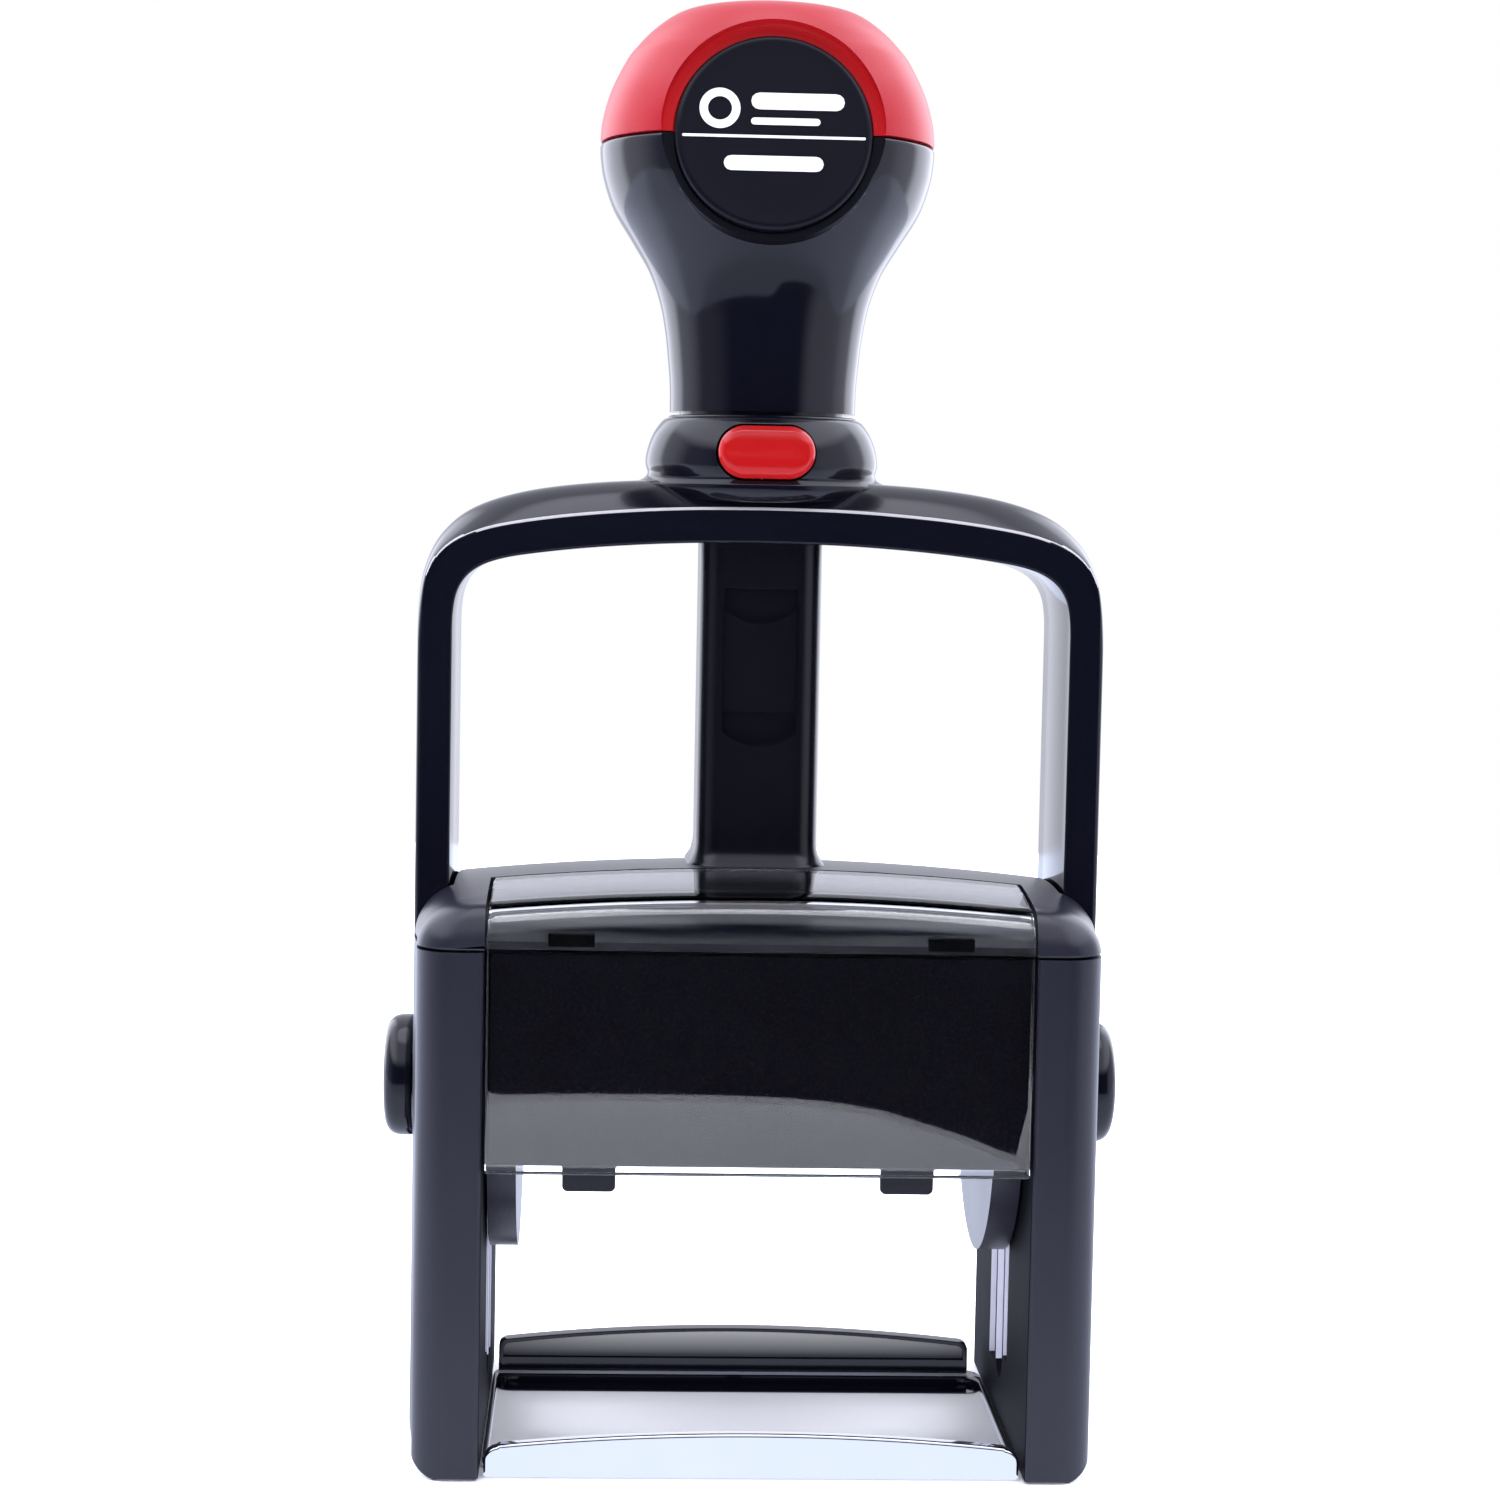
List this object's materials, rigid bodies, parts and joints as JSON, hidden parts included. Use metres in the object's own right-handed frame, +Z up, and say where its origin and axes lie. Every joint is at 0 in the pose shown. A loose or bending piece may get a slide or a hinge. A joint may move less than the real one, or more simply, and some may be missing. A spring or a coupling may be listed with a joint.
{
  "type": "self inking stamp",
  "caption": "Self-inking desk stamp: round knob on a sliding yoke, flip-over text plate, clear front cover, chrome base bar and pull-out ink cartridge.",
  "frame": {"origin": "middle of the footprint, on the surface that the stamp stands on", "axes": "+X across the stamp, from the left cheek to the right cheek seen from the window side; +Y from the window towards the cartridge side; +Z up"},
  "size_m": [0.0868, 0.0518, 0.1677],
  "materials": {
    "charcoal": "satin charcoal moulded plastic",
    "black_gloss": "polished blue-black plastic",
    "red_satin": "semi-gloss red plastic",
    "red_gloss": "polished red plastic",
    "badge": "black printed disc with a plain white line",
    "chrome": "mirror chrome",
    "steel": "bright zinc-plated steel",
    "clear": "clear polished plastic",
    "card": "black index card",
    "die_rubber": "engraved stamp rubber",
    "foam": "closed-cell cushion foam",
    "ink_felt": "felt soaked with black ink"
  },
  "bodies": {
    "root": {"cheek_left": "charcoal", "cheek_right": "charcoal", "housing_cap": "charcoal", "guide_column": "black_gloss", "column_screw": "steel", "rear_panel": "charcoal", "base_frame": "black_gloss", "front_bar": "chrome", "rear_bar": "black_gloss", "post_screw_front_left": "steel", "post_screw_front_right": "steel", "post_screw_rear_left": "steel", "post_screw_rear_right": "steel", "return_spring": "steel"},
    "yoke": {"yoke_frame": "black_gloss", "handle_grip": "black_gloss", "handle_cap": "red_satin", "badge_disc": "badge", "spring_seat": "steel", "handle_screw": "steel", "axle_left": "charcoal", "axle_right": "charcoal"},
    "button": {"lock_button": "red_gloss"},
    "die": {"die_carrier": "charcoal", "die_foam": "foam", "text_plate": "die_rubber"},
    "cartridge": {"cartridge_tray": "charcoal", "ink_pad": "ink_felt"},
    "cover": {"front_cover": "clear", "cover_backing": "charcoal", "index_card": "card"}
  },
  "joints": [
    {"name": "yoke_slide", "type": "slide", "parent": "root", "child": "yoke", "axis": [0, 0, -1], "range_m": [0, 0.0333], "stiffness_N_per_m": 400, "springref_m": -0.025, "deforming": ["return_spring"]},
    {"name": "die_flip", "type": "hinge", "parent": "yoke", "child": "die", "pos_m": [0, 0, 0.0415], "axis": [1, 0, 0], "range_deg": [0, 180]},
    {"name": "lock_press", "type": "slide", "parent": "yoke", "child": "button", "axis": [0, 1, 0], "range_m": [0, 0.0024], "stiffness_N_per_m": 400, "springref_m": -0.0015},
    {"name": "cartridge_pull", "type": "slide", "parent": "root", "child": "cartridge", "axis": [0, 1, 0], "range_m": [0, 0.05]},
    {"name": "cover_pull", "type": "slide", "parent": "root", "child": "cover", "axis": [0, -1, 0], "range_m": [0, 0.025]}
  ],
  "couplings": [
    {"joint": "die_flip", "follows": "yoke_slide", "rad_per_m": 94.34}
  ]
}
